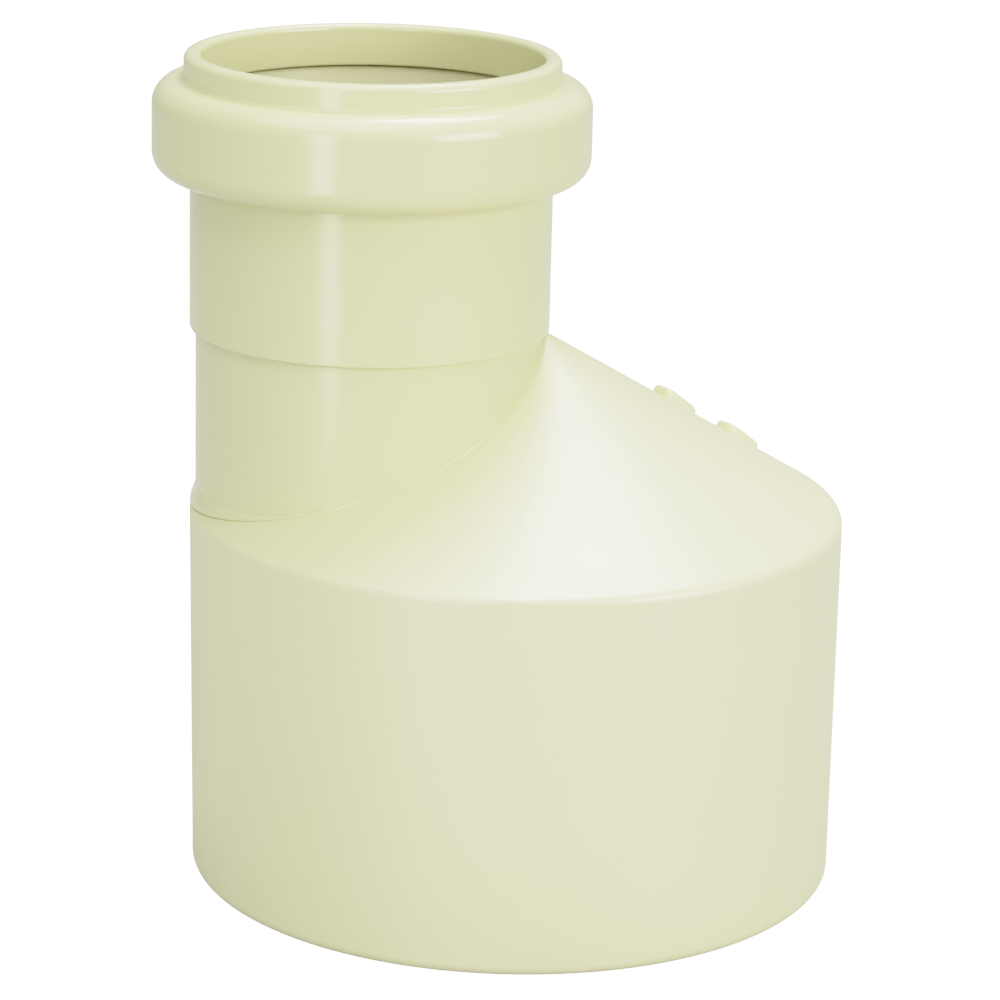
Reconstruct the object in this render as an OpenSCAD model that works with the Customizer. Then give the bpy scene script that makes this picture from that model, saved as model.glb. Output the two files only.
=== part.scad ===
// Push-fit eccentric reducer for plastic drain pipe.
// A large plain spigot at the bottom, a small ring-seal socket at the top, set off to one side so
// that the two bores run flush along one wall. Origin: centre of the spigot's end face, +Z up.
// The small socket stands off towards -X. Millimetres.

/* [Large spigot] */
// Outside diameter of the large spigot
spigot_d = 101.6; // [100:0.1:104]
// Height of the spigot's straight wall, from its end face to the shoulder
spigot_h = 58.4; // [57:0.1:62]
// Wall thickness of the lower moulding
body_wall = 3; // [2.6:0.1:3.2]
// Lead-in chamfer on the spigot's end
end_chamfer = 1; // [0.5:0.1:1.4]

/* [Sloping shoulder] */
// Slope of the shoulder on the socket's side, in degrees
slope_near = 27.5; // [27:0.5:28.5]
// Slope of the shoulder on the far side, in degrees
slope_far = 30.5; // [30:0.5:31.5]

/* [Small neck and socket] */
// Sideways offset of the small socket's axis from the spigot's axis
offset_x = 23.2; // [22:0.1:23.4]
// Outside diameter of the neck
neck_d = 53.8; // [53.4:0.1:54]
// Bore of the neck, under the pipe stop
neck_bore_d = 48.8; // [48:0.1:49.2]
// Outside diameter of the socket barrel
socket_d = 55.3; // [55.1:0.1:56]
// Bore of the socket barrel, for a 50.7 mm pipe
socket_bore_d = 51.2; // [51.1:0.1:51.5]
// Height of the socket barrel's lower edge
socket_z = 86.7; // [86:0.1:88]
// Height of the mouth
mouth_z = 128.9; // [128:0.1:131]

/* [Ring housing] */
// Outside diameter of the ring housing
housing_d = 66.8; // [66:0.1:68]
// Height of the housing's lower edge
housing_z = 110.3; // [109:0.1:110.6]
// Height of the housing's upper edge
housing_top = 124.9; // [124:0.1:125.2]
// Radius of the housing's upper corner
housing_round = 4.7; // [4:0.1:4.7]
// Radius of the housing's lower corner
housing_under = 3.6; // [3:0.1:4.2]
// Outside diameter of the mouth lip
lip_d = 57.2; // [57:0.1:58]
// Bore of the mouth lip
lip_bore_d = 52.7; // [52.4:0.1:53]
// Height of the lip's inner lower edge, which is the groove's roof
lip_under_z = 122.4; // [121.8:0.1:122.6]

/* [Seal and weld] */
// Height of the seal ring's seat part
seal_h = 9.2; // [8.8:0.1:9.4]
// Inside diameter of the seal's lip, held open by a pipe
seal_bore_d = 50.9; // [50.8:0.02:51]
// Width of the weld bead round the foot of the neck
bead_w = 0.6; // [0.4:0.1:0.6]
// Height of the weld bead above the shoulder
bead_h = 1.2; // [0.8:0.1:1.4]

/* [Raised pads] */
// Length of each pad down the slope
pad_l = 7.5; // [6:0.5:9]
// Width of each pad across the slope
pad_w = 4.5; // [4:0.5:6]
// Height of each pad above the slope
pad_h = 1.3; // [0.8:0.1:1.6]
// Direction of the row of pads from +X, in degrees
pad_turn = 32; // [28:1:38]
// Distance from the shoulder's peak to the middle of the first pad, down the slope
pad_first = 30.5; // [29:0.5:32]
// Distance from one pad's middle to the next
pad_step = 15; // [13:0.5:15.5]

/* [Hidden] */
$fn = 192;

spigot_r = spigot_d / 2;
neck_r = neck_d / 2;
neck_bore_r = neck_bore_d / 2;
socket_r = socket_d / 2;
socket_bore_r = socket_bore_d / 2;
housing_r = housing_d / 2;
lip_r = lip_d / 2;
lip_bore_r = lip_bore_d / 2;

// The shoulder is a round cone that leans, so its two slopes differ. Its peak stands where the two
// sloping lines from the spigot's edges meet.
shoulder_slope = (slope_near + slope_far) / 2;
shoulder_lean = (slope_far - slope_near) / 2;
peak_h = spigot_d / (1 / tan(slope_near) + 1 / tan(slope_far));
peak_x = peak_h / tan(slope_near) - spigot_r;
peak_z = spigot_h + peak_h;
cone_h = 110;                                  // tall enough to hold the whole spigot
top_z = 100;                                   // above the shoulder's peak
over = 1;                                      // how far a cutter runs past what it cuts

// The neck's foot stands in a rebate in the body, on a ledge that an inner collar carries.
seat_z = spigot_h - 4.4;
ledge = 3;                                     // depth of the ledge under the neck's foot
collar_wall = 2.6;                             // wall of the collar round the neck's foot
collar_z = seat_z - ledge;                     // the collar's lower end
core_step = 0.6;                               // step in the hollow at the collar's lower end

// Inside the socket
stop_z = socket_z + 1.6;                       // the pipe stop
groove_wall = 2.4;                             // wall of the ring housing
groove_r = housing_r - groove_wall;
groove_z = housing_z + 2.3;                    // the groove's floor
groove_round = 1.2;                            // corners of the groove
lead_in = 0.8;                                 // chamfer inside the mouth
edge_round = 0.8;                              // outer edge of the mouth lip
step_chamfer = 0.4;                            // lower edge of the socket barrel

// The seal ring
seal_gap = 0.1;                                // room between the seal and the groove's wall
seal_body_r = 27.4;                            // inner side of the part that sits in the groove
seal_lip = 1.1;                                // thickness of the sealing lip
seal_lip_drop = 5.5;                           // how far the lip reaches down

pad_round = 1.2;                                 // corner radius of a pad
pad_sink = 0.6;                                // how deep a pad's foot reaches into the slope

ivory = [0.87, 0.87, 0.75];
gloss_ivory = [0.85, 0.86, 0.72];
pale_rubber = [0.88, 0.88, 0.78];

// A leaning cone with its peak at the shoulder's peak, let down by depth along its own axis.
module shoulder_cone(depth) {
    translate([peak_x, 0, peak_z])
        rotate([0, shoulder_lean, 0])
            translate([0, 0, -depth - cone_h])
                cylinder(h = cone_h, r1 = cone_h / tan(shoulder_slope), r2 = 0);
}

// A straight cylinder on the small socket's axis. The quarter turn keeps its seam off the shoulder's
// peak, which lies close inside the neck's wall.
module on_neck(radius, from_z, to_z) {
    translate([-offset_x, 0, from_z])
        rotate([0, 0, 90])
            cylinder(h = to_z - from_z, r = radius);
}

// The outside of the lower moulding, with no hollow.
module body_outline() {
    intersection() {
        union() {
            cylinder(h = end_chamfer, r1 = spigot_r - end_chamfer, r2 = spigot_r);
            translate([0, 0, end_chamfer])
                cylinder(h = top_z, r = spigot_r);
        }
        shoulder_cone(0);
    }
}

// The hollow of the lower moulding: the same shape, one wall smaller, and smaller still by core_step
// from the collar's lower end up.
module body_hollow() {
    translate([0, 0, -over])
        cylinder(h = collar_z + over, r = spigot_r - body_wall);
    intersection() {
        cylinder(h = top_z, r = spigot_r - body_wall - core_step);
        shoulder_cone(body_wall / cos(shoulder_slope));
    }
}

// A rectangle with round corners, standing on its middle.
module pad_outline() {
    inner_l = pad_l / 2 - pad_round;
    inner_w = pad_w / 2 - pad_round;
    square([pad_l, 2 * inner_w], center = true);
    square([2 * inner_l, pad_w], center = true);
    for (x = [-inner_l, inner_l], y = [-inner_w, inner_w])
        translate([x, y])
            circle(r = pad_round);
}

// One raised pad, lying on the slope at a distance from the shoulder's peak.
module raised_pad(distance) {
    translate([peak_x, 0, peak_z])
        rotate([0, shoulder_lean, 0])
            rotate([0, 0, pad_turn])
                rotate([0, shoulder_slope, 0])
                    translate([distance, 0, -pad_sink])
                        linear_extrude(height = pad_sink + pad_h)
                            pad_outline();
}

module reducer_body() {
    color(ivory)
        difference() {
            union() {
                difference() {
                    body_outline();
                    body_hollow();
                }
                intersection() {
                    body_outline();
                    on_neck(neck_r + collar_wall, collar_z, top_z);
                }
                for (i = [0 : 1])
                    raised_pad(pad_first + i * pad_step);
            }
            on_neck(neck_r, seat_z, top_z + over);
            on_neck(neck_bore_r, collar_z - over, seat_z + over);
        }
}

// Half a section of the ring housing: a bar from the axis out, with its outer corners rounded.
module housing_section() {
    band_z = housing_z + housing_under;
    band_top = housing_top - housing_round;
    square([housing_r - housing_round, housing_top]);
    square([housing_r - housing_under, band_z]);
    translate([0, band_z])
        square([housing_r, band_top - band_z]);
    translate([housing_r - housing_round, band_top])
        circle(r = housing_round);
    translate([housing_r - housing_under, band_z])
        circle(r = housing_under);
}

// Half a section of the groove: a bar from the axis out, with its outer corners rounded.
module groove_section() {
    translate([0, groove_z])
        square([groove_r - groove_round, lip_under_z - groove_z]);
    translate([0, groove_z + groove_round])
        square([groove_r, lip_under_z - groove_z - 2 * groove_round]);
    for (z = [groove_z + groove_round, lip_under_z - groove_round])
        translate([groove_r - groove_round, z])
            circle(r = groove_round);
}

// Half a section of the neck, socket barrel, ring housing and lip, with no bore.
module socket_outline() {
    translate([0, seat_z])
        square([neck_r, socket_z - seat_z]);
    polygon([
        [0, socket_z],
        [socket_r - step_chamfer, socket_z],
        [socket_r, socket_z + step_chamfer],
        [socket_r, housing_z + housing_under],
        [0, housing_z + housing_under],
    ]);
    difference() {
        housing_section();
        square([housing_r, housing_z]);
    }
    translate([0, housing_top - over])
        square([lip_r, mouth_z - edge_round - housing_top + over]);
    translate([0, housing_top])
        square([lip_r - edge_round, mouth_z - housing_top]);
    translate([lip_r - edge_round, mouth_z - edge_round])
        circle(r = edge_round);
}

// Half a section of everything that is open inside the socket.
module socket_hollow() {
    translate([0, seat_z - over])
        square([neck_bore_r, stop_z - seat_z + over]);
    translate([0, stop_z])
        square([socket_bore_r, groove_z - stop_z]);
    groove_section();
    polygon([
        [0, lip_under_z - over],
        [lip_bore_r, lip_under_z - over],
        [lip_bore_r, mouth_z - lead_in],
        [lip_bore_r + lead_in + over, mouth_z + over],
        [0, mouth_z + over],
    ]);
}

module socket_neck() {
    color(gloss_ivory)
        translate([-offset_x, 0, 0])
            rotate_extrude()
                difference() {
                    socket_outline();
                    socket_hollow();
                }
}

module seal_ring() {
    lip_tip_r = seal_bore_d / 2;
    lip_root_z = groove_z + seal_h;
    lip_tip_z = lip_root_z - seal_lip_drop;
    color(pale_rubber)
        translate([-offset_x, 0, 0])
            rotate_extrude()
                polygon([
                    [seal_body_r, groove_z],
                    [groove_r - groove_round, groove_z],
                    [groove_r - seal_gap, groove_z + groove_round],
                    [groove_r - seal_gap, lip_root_z - groove_round],
                    [groove_r - groove_round, lip_root_z],
                    [seal_body_r - seal_lip / 2, lip_root_z],
                    [lip_tip_r, lip_tip_z + seal_lip],
                    [lip_tip_r, lip_tip_z],
                    [lip_tip_r + seal_lip, lip_tip_z],
                    [seal_body_r, lip_root_z - seal_lip],
                ]);
}

// The band of space just above the shoulder and just outside the neck.
module weld_bead() {
    color([0.93, 0.93, 0.84])
        difference() {
            intersection() {
                on_neck(neck_r + bead_w, spigot_h, peak_z + over);
                shoulder_cone(-bead_h);
            }
            shoulder_cone(0);
            on_neck(neck_r, seat_z, top_z + over);
        }
}

reducer_body();
socket_neck();
seal_ring();
weld_bead();
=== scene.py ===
"""Looks for a push-fit eccentric reducer: a matte lower moulding with a glossy socket welded in.

Metres, +Z up, origin at the centre of the large spigot's end face, as in the CAD frame. The small
socket stands off towards -X and the camera looks along +Y. The far side of the neck is its +X side,
and the flush side is its -X side, where it meets the spigot's wall.
"""

import math

import bmesh
import bpy
from mathutils import Matrix, Vector


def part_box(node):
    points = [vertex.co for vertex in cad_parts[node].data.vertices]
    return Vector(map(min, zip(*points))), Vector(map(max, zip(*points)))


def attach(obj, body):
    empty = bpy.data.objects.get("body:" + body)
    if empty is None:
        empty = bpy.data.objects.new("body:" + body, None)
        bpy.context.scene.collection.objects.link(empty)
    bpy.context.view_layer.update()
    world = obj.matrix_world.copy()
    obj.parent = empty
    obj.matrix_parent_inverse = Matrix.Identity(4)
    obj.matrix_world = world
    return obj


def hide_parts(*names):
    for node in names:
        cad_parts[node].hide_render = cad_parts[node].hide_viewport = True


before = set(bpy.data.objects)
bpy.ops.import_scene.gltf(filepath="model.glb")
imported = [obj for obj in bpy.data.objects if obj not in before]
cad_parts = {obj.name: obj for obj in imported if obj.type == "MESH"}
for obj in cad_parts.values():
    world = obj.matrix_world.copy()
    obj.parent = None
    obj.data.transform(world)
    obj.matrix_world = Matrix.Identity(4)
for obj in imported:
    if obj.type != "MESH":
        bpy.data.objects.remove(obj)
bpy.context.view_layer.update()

MM = 0.001
UP = Vector((0, 0, 1))
TURNS = 288                      # sections round each ring-shaped piece
HOLD = 0.15 * MM                 # how close to a rounded corner its supporting edge loops lie

# Driving sizes, read from the CAD frame.
body_low, body_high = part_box("reducer_body")
neck_low, neck_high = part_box("socket_neck")
seal_low, seal_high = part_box("seal_ring")

SPIGOT_R = (body_high.x - body_low.x) / 2
NECK_X = (neck_low.x + neck_high.x) / 2
HOUSING_R = (neck_high.x - neck_low.x) / 2
MOUTH_Z = neck_high.z
SEAT_Z = neck_low.z
SEAL_R = (seal_high.x - seal_low.x) / 2
SEAL_Z = seal_low.z
SEAL_TOP = seal_high.z

# Where the two mouldings meet; both are built on these.
NECK_R = 26.75 * MM
NECK_BORE_R = 24.4 * MM


# ---------------------------------------------------------------- mesh helpers

def corner(before, at, after, radius, steps):
    """Points of a round corner at `at`, from the side of `before` to the side of `after`."""
    to_before = (before - at).normalized()
    to_after = (after - at).normalized()
    half = to_before.angle(to_after) / 2
    reach = radius / math.tan(half)
    middle = at + (to_before + to_after).normalized() * (radius / math.sin(half))
    start = at + to_before * reach - middle
    end = at + to_after * reach - middle
    sweep = start.angle(end)
    points = []
    for i in range(steps + 1):
        t = i / steps
        a = math.sin((1 - t) * sweep) / math.sin(sweep)
        b = math.sin(t * sweep) / math.sin(sweep)
        points.append(middle + start * a + end * b)
    return points


def rounded(path):
    """A closed path of (point, radius, steps) with round corners and supporting points beside them.

    Two neighbouring corners need more than two HOLDs of straight side left between their arcs.
    """
    made = []
    count = len(path)
    for i, (at, radius, steps) in enumerate(path):
        if radius == 0:
            made.append(at)
            continue
        before = path[i - 1][0]
        after = path[(i + 1) % count][0]
        arc = corner(before, at, after, radius, steps)
        if (before - arc[0]).length > 4 * HOLD:
            made.append(arc[0] + (before - arc[0]).normalized() * HOLD)
        made.extend(arc)
        if (after - arc[-1]).length > 4 * HOLD:
            made.append(arc[-1] + (after - arc[-1]).normalized() * HOLD)
    return made


def ring_mesh(name, section_at):
    """A closed solid swept round the Z direction: section_at(angle) gives its closed section."""
    mesh = bpy.data.meshes.new(name)
    made = bmesh.new()
    sections = []
    for i in range(TURNS):
        points = section_at(2 * math.pi * i / TURNS)
        sections.append([made.verts.new(p) for p in points])
    count = len(sections[0])
    for i in range(TURNS):
        here, there = sections[i], sections[(i + 1) % TURNS]
        for k in range(count):
            n = (k + 1) % count
            made.faces.new((here[k], there[k], there[n], here[n]))
    bmesh.ops.recalc_face_normals(made, faces=made.faces)
    for face in made.faces:
        face.smooth = True
    made.to_mesh(mesh)
    made.free()
    piece = bpy.data.objects.new(name, mesh)
    bpy.context.scene.collection.objects.link(piece)
    return piece


def lathe(name, outline):
    """A ring on the socket's axis, from an outline of (radius, height, corner radius, steps)."""
    flat = [(Vector((r, 0, z)), corner_r, steps) for r, z, corner_r, steps in outline]
    profile = rounded(flat)

    def section(angle):
        c, s = math.cos(angle), math.sin(angle)
        return [Vector((NECK_X + p.x * c, p.x * s, p.z)) for p in profile]

    return ring_mesh(name, section)


def apply_modifiers(piece):
    """Replaces a piece's mesh by what its modifiers make of it."""
    graph = bpy.context.evaluated_depsgraph_get()
    mesh = bpy.data.meshes.new_from_object(piece.evaluated_get(graph))
    piece.modifiers.clear()
    piece.data = mesh


def merge(piece, other):
    """Joins another closed solid to a piece, as one closed solid."""
    union = piece.modifiers.new("union", "BOOLEAN")
    union.operation = "UNION"
    union.solver = "EXACT"
    union.object = other
    apply_modifiers(piece)
    bpy.data.objects.remove(other)


# ---------------------------------------------------------------- lower moulding

WALL = 3.0 * MM
WALL_MARK = 20 * MM              # a height on the spigot's wall that gives corners a direction

# Sloping shoulder
SHOULDER_Z = 58.4 * MM
SLOPE_NEAR = math.radians(27.5)
SLOPE_FAR = math.radians(30.5)
SLOPE = (SLOPE_NEAR + SLOPE_FAR) / 2
LEAN = (SLOPE_FAR - SLOPE_NEAR) / 2
PEAK_H = 2 * SPIGOT_R / (1 / math.tan(SLOPE_NEAR) + 1 / math.tan(SLOPE_FAR))
PEAK_X = PEAK_H / math.tan(SLOPE_NEAR) - SPIGOT_R
PEAK_Z = SHOULDER_Z + PEAK_H
SLOPE_STEPS = 44
EDGE_ROUND = 1.2 * MM            # its lower edge, growing to twice that on the far side
EDGE_NEEDS = 3.0 * MM            # where the shoulder is narrower than this, its edge is sharper
EDGE_STEPS = 8

# Spigot's end
DRAFT = 0.2 * MM                 # how much smaller the end's radius is
DRAFT_SHIFT = 0.25 * MM          # how far towards +X the end lies
END_BAND = 4.0 * MM              # height of the edge loop above the end
END_ROUND = 1.6 * MM
END_STEPS = 7
END_INSIDE_ROUND = 0.4 * MM
END_INSIDE_STEPS = 3

# Collar under the neck's foot, and the hollow's ceiling beside it
LEDGE = 3.0 * MM                 # depth of the ledge that the foot stands on
COLLAR_WALL = 2.6 * MM           # how much thicker the collar is than the neck
COLLAR_SHARE = 0.85              # the most of the way to the spigot's wall that it takes up
CEILING_NEEDS = 3.0 * MM         # where the gap beside the collar is narrower, the ceiling sinks
CEILING_LIFT = 0.02 * MM
CEILING_STEPS = 12


def shoulder_height(x, y):
    """Height of the sloping shoulder, a round cone that leans, over a point."""
    dx = x - PEAK_X
    sin_s2 = math.sin(SLOPE) ** 2
    sin_l, cos_l = math.sin(LEAN), math.cos(LEAN)
    a = cos_l ** 2 - sin_s2
    b = dx * sin_l * cos_l
    c = (dx * sin_l) ** 2 - sin_s2 * (dx * dx + y * y)
    return PEAK_Z - (b + math.sqrt(max(b * b - a * c, 0))) / a


def on_shoulder(flat, drop=0.0):
    return Vector((flat.x, flat.y, shoulder_height(flat.x, flat.y) - drop))


def body_section(angle):
    """One closed section of the lower moulding, which follows the spigot's circle outside and the
    neck's circle inside."""
    turn = Vector((math.cos(angle), math.sin(angle), 0))
    axis = Vector((NECK_X, 0, 0))
    rim = turn * SPIGOT_R
    foot = axis + turn * NECK_R
    bore = axis + turn * NECK_BORE_R
    inside = turn * (SPIGOT_R - WALL)
    low_rim = turn * (SPIGOT_R - DRAFT) + Vector((DRAFT_SHIFT, 0, 0))
    points = []

    # End face and outer wall. The first point only gives the inner corner its direction.
    lower = [
        (inside + UP * WALL_MARK, 0, 0),
        (inside, END_INSIDE_ROUND, END_INSIDE_STEPS),
        (low_rim, END_ROUND, END_STEPS),
        (low_rim + UP * END_BAND, 0, 0),
    ]
    points += rounded(lower)[1:]

    # Shoulder edge, rounder on the far side, then the slope up to the neck
    edge = on_shoulder(rim)
    strip = foot - rim
    far_side = 1 + max(0.0, math.cos(angle))
    shoulder_round = EDGE_ROUND * far_side * min(1.0, strip.length / EDGE_NEEDS)
    step = on_shoulder(rim + strip * 0.01)
    far = edge + (step - edge).normalized() * strip.length
    bend = corner(low_rim + UP * WALL_MARK, edge, far, shoulder_round, EDGE_STEPS)
    points.append(bend[0] - UP * 4 * HOLD)
    points += bend
    start = (Vector((bend[-1].x, bend[-1].y, 0)) - rim).length / strip.length
    for i in range(1, SLOPE_STEPS + 1):
        t = start + (1 - start) * i / SLOPE_STEPS
        points.append(on_shoulder(rim + strip * t))

    # Seat for the neck's foot, and the ledge under it
    seat = UP * SEAT_Z
    ledge = UP * (SEAT_Z - LEDGE)
    points.append(foot + seat)
    points.append(bore + seat)

    # Collar and ceiling, which run into each other where the neck is flush with the wall. The
    # collar is measured towards the spigot's wall and not outwards from the neck's axis, so from
    # 63 to 153 degrees round it is too thin and the mesh crosses itself there, inside the hollow.
    reach = inside - bore
    collar = min(NECK_R - NECK_BORE_R + COLLAR_WALL, COLLAR_SHARE * reach.length)
    gap = reach.length - collar
    open_ = min(gap / CEILING_NEEDS, 1.0)
    open_ = open_ * open_ * (3 - 2 * open_)
    outer = bore + reach.normalized() * collar
    drop = WALL / math.cos(SLOPE)
    points.append(bore + ledge)
    points.append(outer + ledge)
    for i in range(CEILING_STEPS + 1):
        flat = outer + (inside - outer) * (i / CEILING_STEPS)
        high = on_shoulder(flat, drop)
        high.z = ledge.z + max(high.z - ledge.z, 0) * open_ + CEILING_LIFT
        points.append(high)
    return points


body = ring_mesh("reducer_body_skin", body_section)


# ---------------------------------------------------------------- raised pads

PAD_COUNT = 2
PAD_TURN = math.radians(32)      # direction down the slope that they lie in, from the far side
PAD_FIRST = 30.5 * MM            # from the shoulder's peak to the middle of the first
PAD_STEP = 15.0 * MM
PAD_L = 7.5 * MM
PAD_W = 4.5 * MM
PAD_H = 1.6 * MM
PAD_SINK = 0.8 * MM              # how far its foot reaches into the slope
PAD_ROUND = 1.2 * MM             # its corners, seen from above
PAD_ROUND_STEPS = 8
PAD_EDGE = 0.7 * MM              # its softened top edge
PAD_EDGE_STEPS = 4
PAD_FALL = 1.0 * MM              # how much lower its downhill end is
PAD_FALL_CURVE = 1.5
SHARP = math.radians(32)         # edges of the lower moulding that turn by more stay sharp


def raised_pad(distance):
    """A raised pad with round corners and a softened top edge that falls away downhill, its foot
    sunk in the slope."""
    levels = [(0.0, -PAD_SINK), (0.0, PAD_H - PAD_EDGE)]
    for i in range(1, PAD_EDGE_STEPS + 1):
        a = math.pi / 2 * i / PAD_EDGE_STEPS
        levels.append((PAD_EDGE * (1 - math.cos(a)), PAD_H - PAD_EDGE * (1 - math.sin(a))))

    made = bmesh.new()
    rings = []
    cx, cy = PAD_L / 2 - PAD_ROUND, PAD_W / 2 - PAD_ROUND
    for inset, z in levels:
        ring = []
        r = PAD_ROUND - inset
        for quarter, (sx, sy) in enumerate(((1, 1), (-1, 1), (-1, -1), (1, -1))):
            for i in range(PAD_ROUND_STEPS + 1):
                a = math.pi / 2 * (quarter + i / PAD_ROUND_STEPS)
                x, y = sx * cx + r * math.cos(a), sy * cy + r * math.sin(a)
                downhill = max(0.0, x / (PAD_L / 2))
                fall = PAD_FALL * downhill ** PAD_FALL_CURVE if z > 0 else 0.0
                ring.append(made.verts.new((x, y, z - fall)))
        rings.append(ring)

    count = len(rings[0])
    for low, high in zip(rings, rings[1:]):
        for k in range(count):
            n = (k + 1) % count
            made.faces.new((low[k], low[n], high[n], high[k]))
    made.faces.new(rings[0][::-1])
    made.faces.new(rings[-1])
    bmesh.ops.recalc_face_normals(made, faces=made.faces)
    mesh = bpy.data.meshes.new("pad")
    made.to_mesh(mesh)
    made.free()

    pad = bpy.data.objects.new("pad", mesh)
    bpy.context.scene.collection.objects.link(pad)
    place = Matrix.Translation((PEAK_X, 0, PEAK_Z)) @ Matrix.Rotation(LEAN, 4, "Y")
    place = place @ Matrix.Rotation(PAD_TURN, 4, "Z") @ Matrix.Rotation(SLOPE, 4, "Y")
    mesh.transform(place @ Matrix.Translation((distance, 0, 0)))
    return pad


for i in range(PAD_COUNT):
    merge(body, raised_pad(PAD_FIRST + i * PAD_STEP))
body.data.shade_smooth()
body.data.set_sharp_from_angle(angle=SHARP)

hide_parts("reducer_body")
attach(body, "root")


# ---------------------------------------------------------------- neck and socket

SOCKET_R = 27.65 * MM
SOCKET_BORE_R = 25.6 * MM
SOCKET_Z = 86.7 * MM
STOP_Z = 88.3 * MM
HOUSING_Z = 110.3 * MM
HOUSING_TOP = 124.9 * MM
HOUSING_UNDER = 3.6 * MM         # roundness of its lower edge
HOUSING_ROUND = 3.8 * MM         # roundness of its upper edge
HOUSING_FILLET = 0.5 * MM        # where the socket barrel runs into it
GROOVE_R = HOUSING_R - 2.4 * MM
GROOVE_Z = 112.6 * MM
GROOVE_ROUND = 1.2 * MM
LIP_UNDER_Z = 122.4 * MM
LIP_R = 28.6 * MM
LIP_BORE_R = 26.0 * MM
LIP_FILLET = 0.65 * MM           # where the lip rises from the housing
MOUTH_ROUND = 1.2 * MM
MOUTH_INSIDE_ROUND = 0.9 * MM
EASE = 0.3 * MM                  # edges that are only eased

neck = lathe("socket_neck_skin", [
    (NECK_BORE_R, SEAT_Z, EASE, 2),
    (NECK_R, SEAT_Z, EASE, 2),
    (NECK_R, SOCKET_Z, EASE / 2, 2),
    (SOCKET_R, SOCKET_Z, EASE, 4),
    (SOCKET_R, HOUSING_Z, HOUSING_FILLET, 4),
    (HOUSING_R, HOUSING_Z, HOUSING_UNDER, 12),
    (HOUSING_R, HOUSING_TOP, HOUSING_ROUND, 12),
    (LIP_R, HOUSING_TOP, LIP_FILLET, 5),
    (LIP_R, MOUTH_Z, MOUTH_ROUND, 8),
    (LIP_BORE_R, MOUTH_Z, MOUTH_INSIDE_ROUND, 6),
    (LIP_BORE_R, LIP_UNDER_Z, EASE, 3),
    (GROOVE_R, LIP_UNDER_Z, GROOVE_ROUND, 5),
    (GROOVE_R, GROOVE_Z, GROOVE_ROUND, 5),
    (SOCKET_BORE_R, GROOVE_Z, 0.4 * MM, 3),
    (SOCKET_BORE_R, STOP_Z, 0.2 * MM, 2),
    (NECK_BORE_R, STOP_Z, EASE, 3),
])
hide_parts("socket_neck")
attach(neck, "root")


# ---------------------------------------------------------------- seal ring

SEAL_BODY_R = 27.4 * MM          # inner side of the part that sits in the groove
SEAL_RISE = 0.3 * MM             # how much higher than the CAD's the seal stands in its groove
SEAL_ROUND = 1.3 * MM            # its edges in the groove
SEAL_LIP = 1.1 * MM              # thickness of the lip
SEAL_TIP_R = 25.45 * MM
SEAL_TIP_Z = SEAL_TOP - 5.5 * MM
SEAL_CLEFT = 0.4 * MM            # roundness of the narrow cleft behind the lip; so large that the
                                 # section folds by about 0.1 mm under the tip, all round

seal = lathe("seal_ring_skin", [
    (SEAL_BODY_R, SEAL_Z, EASE, 3),
    (SEAL_R, SEAL_Z, SEAL_ROUND, 6),
    (SEAL_R, SEAL_TOP + SEAL_RISE, SEAL_ROUND, 6),
    (SEAL_BODY_R - SEAL_LIP / 2, SEAL_TOP + SEAL_RISE, 0.6 * MM, 4),
    (SEAL_TIP_R, SEAL_TIP_Z + SEAL_LIP, 0.4 * MM, 4),
    (SEAL_TIP_R, SEAL_TIP_Z, EASE, 3),
    (SEAL_TIP_R + SEAL_LIP, SEAL_TIP_Z, EASE, 3),
    (SEAL_BODY_R, SEAL_TOP - SEAL_LIP, SEAL_CLEFT, 3),
])
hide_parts("seal_ring")
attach(seal, "root")


# ---------------------------------------------------------------- weld bead

BEAD_TALL = 3.0 * MM             # on the flush side
BEAD_LOW = 0.32 * MM             # over the rest of the crease
BEAD_WIDE = 0.85 * MM            # how far it stands out on the flush side
BEAD_GROOVE = 0.3 * MM           # gap under its overhanging edge on the flush side
BEAD_GATHER = 4                  # how closely its tall part keeps to the flush side
BEAD_IN_NECK = 0.2 * MM          # how far it reaches into the neck
BEAD_IN_BODY = 0.1 * MM          # how far it reaches into the lower moulding
BEAD_DEPTH = 0.4 * MM            # how far it goes down along the neck below the crease
BEAD_CURVE = 0.5                 # round where it is thin
BEAD_FLARE = 1.3                 # more hollow where it is tall
BEAD_STEPS = 12


def bead_section(angle):
    """One section of the bead: tall and flared on the flush side, thin and round elsewhere."""
    turn = Vector((math.cos(angle), math.sin(angle), 0))
    axis = Vector((NECK_X, 0, 0))
    flush_side = max(0.0, -math.cos(angle)) ** BEAD_GATHER
    height = BEAD_LOW + (BEAD_TALL - BEAD_LOW) * flush_side
    width = BEAD_LOW + (BEAD_WIDE - BEAD_LOW) * flush_side
    groove = BEAD_GROOVE * flush_side
    foot = on_shoulder(axis + turn * NECK_R)
    outer = on_shoulder(axis + turn * (NECK_R + width))
    inner = axis + turn * (NECK_R - BEAD_IN_NECK)
    under = axis + turn * (NECK_R + BEAD_IN_BODY)
    points = [Vector((inner.x, inner.y, foot.z - BEAD_DEPTH)),
              Vector((under.x, under.y, foot.z - BEAD_DEPTH)),
              Vector((under.x, under.y, foot.z + 0.5 * groove))]
    low = outer.z + groove
    for i in range(BEAD_STEPS + 1):
        t = i / BEAD_STEPS
        flare = (1 - t * t) ** (BEAD_CURVE + BEAD_FLARE * flush_side)
        flat = axis + turn * (NECK_R + width * flare)
        points.append(Vector((flat.x, flat.y, low + (foot.z + height - low) * t)))
    points.append(Vector((inner.x, inner.y, foot.z + height)))
    return points


bead = ring_mesh("weld_bead_skin", bead_section)
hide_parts("weld_bead")
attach(bead, "root")


# ---------------------------------------------------------------- materials

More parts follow.
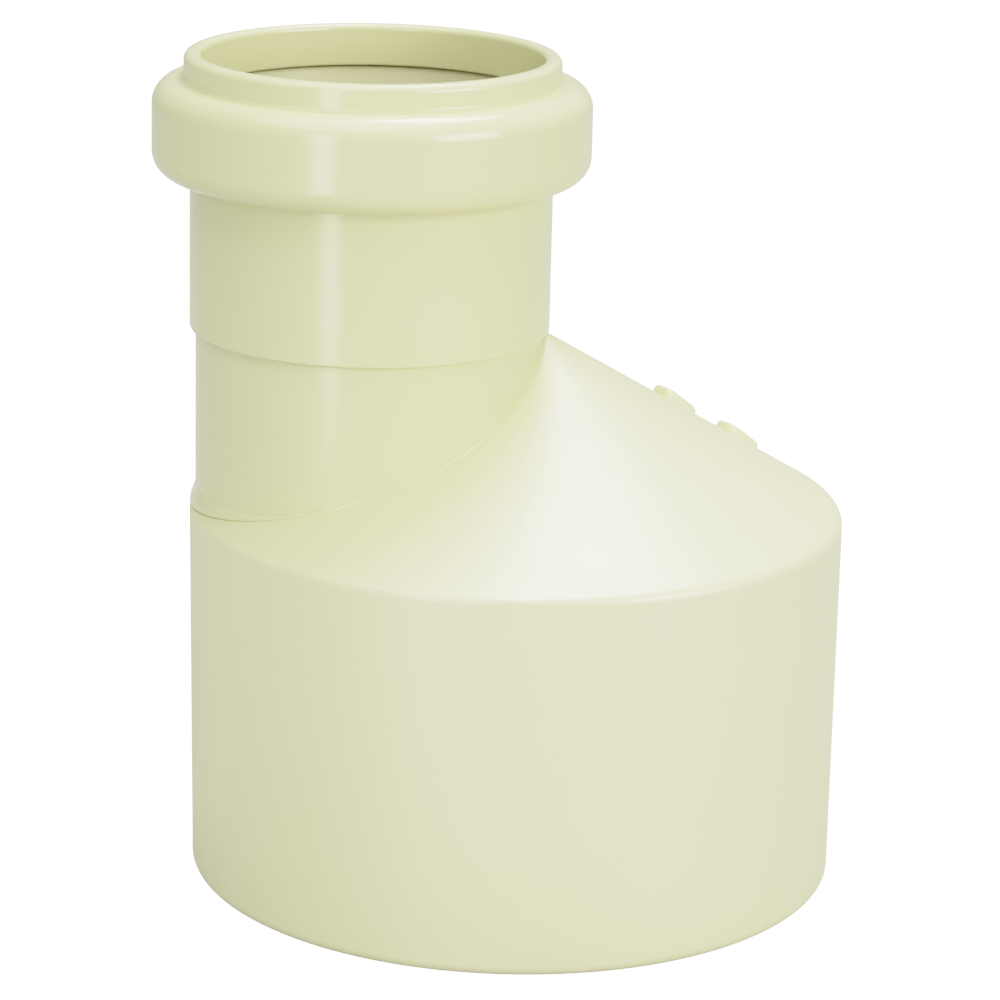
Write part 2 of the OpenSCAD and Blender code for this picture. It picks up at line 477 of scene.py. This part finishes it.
NOISE_LOW, NOISE_HIGH = 0.3, 0.7  # what a noise texture mostly stays between
PVC_IOR = 1.55
DRIFT_SCALE = 28                 # colour drift, in cells per metre like the scales below
WAVE_SCALE = 55                  # long shallow waviness
PATCH_SCALE = 160                # uneven gloss


def material(name):
    made = bpy.data.materials.new(name)
    made.use_nodes = True
    nodes = made.node_tree.nodes
    return made, nodes, made.node_tree.links, nodes["Principled BSDF"]


def texture(nodes, links, scale, detail):
    """A noise texture in object coordinates, with scale in cells per metre."""
    where = nodes.new("ShaderNodeTexCoord")
    noise = nodes.new("ShaderNodeTexNoise")
    noise.inputs["Scale"].default_value = scale
    noise.inputs["Detail"].default_value = detail
    links.new(where.outputs["Object"], noise.inputs["Vector"])
    return noise.outputs["Fac"]


def spread(nodes, links, value, low, high):
    """A texture value brought into the range from low to high."""
    mapped = nodes.new("ShaderNodeMapRange")
    mapped.clamp = True
    mapped.inputs["From Min"].default_value = NOISE_LOW
    mapped.inputs["From Max"].default_value = NOISE_HIGH
    mapped.inputs["To Min"].default_value = low
    mapped.inputs["To Max"].default_value = high
    links.new(value, mapped.inputs["Value"])
    return mapped.outputs["Result"]


def tinted(nodes, links, value, one, other):
    """A colour that wanders between two colours with a texture value."""
    mix = nodes.new("ShaderNodeMix")
    mix.data_type = "RGBA"
    mix.inputs["A"].default_value = (*one, 1)
    mix.inputs["B"].default_value = (*other, 1)
    links.new(spread(nodes, links, value, 0.0, 1.0), mix.inputs["Factor"])
    return mix.outputs["Result"]


def bump(nodes, links, value, distance, under=None):
    """A bump of the given height, over another bump if there is one."""
    made = nodes.new("ShaderNodeBump")
    made.inputs["Strength"].default_value = 1.0
    made.inputs["Distance"].default_value = distance
    links.new(value, made.inputs["Height"])
    if under is not None:
        links.new(under, made.inputs["Normal"])
    return made.outputs["Normal"]


def moulded_plastic(name, one, other, rough, sheen, grain, grain_depth, wave_depth):
    """Moulded PVC: faint colour drift, uneven gloss, a fine grain and a long shallow waviness."""
    made, nodes, links, shader = material(name)
    drift = texture(nodes, links, DRIFT_SCALE, 4)
    fine = texture(nodes, links, grain, 2)
    wave = texture(nodes, links, WAVE_SCALE, 1)
    patches = texture(nodes, links, PATCH_SCALE, 3)
    links.new(tinted(nodes, links, drift, one, other), shader.inputs["Base Color"])
    links.new(spread(nodes, links, patches, *rough), shader.inputs["Roughness"])
    long_wave = bump(nodes, links, wave, wave_depth)
    links.new(bump(nodes, links, fine, grain_depth, long_wave), shader.inputs["Normal"])
    shader.inputs["IOR"].default_value = PVC_IOR
    shader.inputs["Specular IOR Level"].default_value = sheen
    return made


def rubber():
    """Smooth pale rubber with a faint bloom that dulls it in places."""
    made, nodes, links, shader = material("seal_rubber")
    bloom = texture(nodes, links, 300, 4)
    colour = tinted(nodes, links, bloom, (0.745, 0.735, 0.470), (0.715, 0.705, 0.445))
    links.new(colour, shader.inputs["Base Color"])
    links.new(spread(nodes, links, bloom, 0.38, 0.52), shader.inputs["Roughness"])
    grain = texture(nodes, links, 3000, 2)
    links.new(bump(nodes, links, grain, 0.008 * MM), shader.inputs["Normal"])
    return made


matte = moulded_plastic(
    "matte_moulding", (0.800, 0.798, 0.472), (0.790, 0.788, 0.458), rough=(0.40, 0.46),
    sheen=1.2, grain=2400, grain_depth=0.02 * MM, wave_depth=0.03 * MM)
gloss = moulded_plastic(
    "gloss_moulding", (0.735, 0.738, 0.430), (0.725, 0.728, 0.416), rough=(0.18, 0.23),
    sheen=0.5, grain=900, grain_depth=0.002 * MM, wave_depth=0.02 * MM)
cement = moulded_plastic(
    "weld_cement", (0.745, 0.745, 0.435), (0.735, 0.735, 0.420), rough=(0.06, 0.12),
    sheen=0.5, grain=600, grain_depth=0.01 * MM, wave_depth=0.05 * MM)

body.data.materials.clear()
body.data.materials.append(matte)
neck.data.materials.append(gloss)
seal.data.materials.append(rubber())
bead.data.materials.append(cement)


# ---------------------------------------------------------------- floor and light

FLOOR_R = 8.0
FLOOR_Z = -0.05 * MM             # just under the part's end face
FLOOR_GREY = (0.46, 0.46, 0.46, 1)
FLOOR_GLOW = 3.4                 # as the camera sees it
FLOOR_SHEEN = 0.25               # as the part's surfaces mirror it

AMBIENT = (1.0, 1.0, 1.0, 1)
AMBIENT_LEVEL = 0.46
PART_CENTRE = (0, 0, 0.065)
LIGHTS = (                       # name, place, width and height, watts, the point it faces
    ("key", (0.85, -0.75, 0.42), (0.7, 0.5), 7.2, PART_CENTRE),
    ("top", (0.20, 0.33, 1.13), (0.45, 0.45), 7.0, PART_CENTRE),
    ("over", (-0.20, -0.25, 1.0), (0.9, 0.9), 4.6, PART_CENTRE),
    ("strip", (-0.160, -0.296, 0.14), (0.058, 0.28), 0.26, (NECK_X, 0, 0.1)),
)


def floor():
    """A pale table that glows white for the camera and faintly in reflections, but throws no other
    light of its own on the part."""
    made = bpy.data.meshes.new("floor")
    shape = bmesh.new()
    bmesh.ops.create_circle(shape, cap_ends=True, radius=FLOOR_R, segments=96)
    shape.to_mesh(made)
    shape.free()
    disc = bpy.data.objects.new("floor", made)
    bpy.context.scene.collection.objects.link(disc)
    skin, nodes, links, shader = material("floor")
    shader.inputs["Base Color"].default_value = FLOOR_GREY
    shader.inputs["Roughness"].default_value = 0.9
    shader.inputs["Specular IOR Level"].default_value = 0.0
    shader.inputs["Emission Color"].default_value = (1, 1, 1, 1)
    path = nodes.new("ShaderNodeLightPath")
    glow = nodes.new("ShaderNodeMath")
    glow.operation = "MAXIMUM"
    seen = spread(nodes, links, path.outputs["Is Camera Ray"], 0.0, FLOOR_GLOW)
    mirrored = spread(nodes, links, path.outputs["Is Glossy Ray"], 0.0, FLOOR_SHEEN)
    links.new(seen, glow.inputs[0])
    links.new(mirrored, glow.inputs[1])
    links.new(glow.outputs["Value"], shader.inputs["Emission Strength"])
    made.materials.append(skin)
    disc.location.z = FLOOR_Z


def soft_light(name, place, size, power, target):
    """A white rectangular soft box at place, facing target."""
    light = bpy.data.lights.new(name, "AREA")
    light.shape = "RECTANGLE"
    light.size, light.size_y = size
    light.energy = power
    lamp = bpy.data.objects.new(name, light)
    lamp.location = place
    lamp.rotation_mode = "QUATERNION"
    lamp.rotation_quaternion = (Vector(target) - Vector(place)).to_track_quat("-Z", "Y")
    bpy.context.scene.collection.objects.link(lamp)


def studio():
    world = bpy.data.worlds.new("studio")
    world.use_nodes = True
    backdrop = world.node_tree.nodes["Background"]
    backdrop.inputs["Color"].default_value = AMBIENT
    backdrop.inputs["Strength"].default_value = AMBIENT_LEVEL
    bpy.context.scene.world = world
    for light in LIGHTS:
        soft_light(*light)


# ---------------------------------------------------------------- camera

# It stands in front, a little to the left of the symmetry plane, and looks down on the part.
SENSOR = 36                      # sensor width and focal length, in millimetres
LENS = 140.63976
CAMERA_DISTANCE = 585.27 * MM
CAMERA_HEIGHT = 228.52 * MM
CAMERA_ROUND = 0.05007           # how far it stands round to the left, in radians like those below
CAMERA_DOWN = 0.28221
CAMERA_SIDE = -0.00432
CAMERA_ROLL = 0.02339
CLIP_NEAR, CLIP_FAR = 0.01, 50

# Its response: straight in the darks, with a soft shoulder that lets bright colours pale.
WHITE = 3.0                      # scene light that comes out as white
RESPONSE = ((0.55, 0.55), (0.69, 0.655), (0.925, 0.76), (1.21, 0.83), (1.55, 0.88), (2.2, 0.94))
COMBINED = 3                     # the curve that acts on all three colours


def camera():
    lens = bpy.data.cameras.new("camera")
    lens.sensor_width = SENSOR
    lens.lens = LENS
    lens.clip_start, lens.clip_end = CLIP_NEAR, CLIP_FAR
    eye = bpy.data.objects.new("camera", lens)
    forward = Vector((math.sin(CAMERA_SIDE) * math.cos(CAMERA_DOWN),
                      math.cos(CAMERA_SIDE) * math.cos(CAMERA_DOWN), -math.sin(CAMERA_DOWN)))
    right = Vector((math.cos(CAMERA_SIDE), -math.sin(CAMERA_SIDE), 0))
    above = right.cross(forward)
    level_right = right * math.cos(CAMERA_ROLL) + above * math.sin(CAMERA_ROLL)
    level_above = above * math.cos(CAMERA_ROLL) - right * math.sin(CAMERA_ROLL)
    turned = Matrix((level_right, level_above, -forward)).transposed().to_4x4()
    place = Matrix.Translation((0, -CAMERA_DISTANCE, CAMERA_HEIGHT))
    eye.matrix_world = Matrix.Rotation(-CAMERA_ROUND, 4, "Z") @ place @ turned
    bpy.context.scene.collection.objects.link(eye)
    bpy.context.scene.camera = eye


def response():
    view = bpy.context.scene.view_settings
    view.view_transform = "Standard"
    view.use_curve_mapping = True
    mapping = view.curve_mapping
    mapping.white_level = (WHITE, WHITE, WHITE)
    combined = mapping.curves[COMBINED]
    for light, shown in RESPONSE:
        combined.points.new(light / WHITE, shown)
    mapping.update()


floor()
studio()
camera()
response()
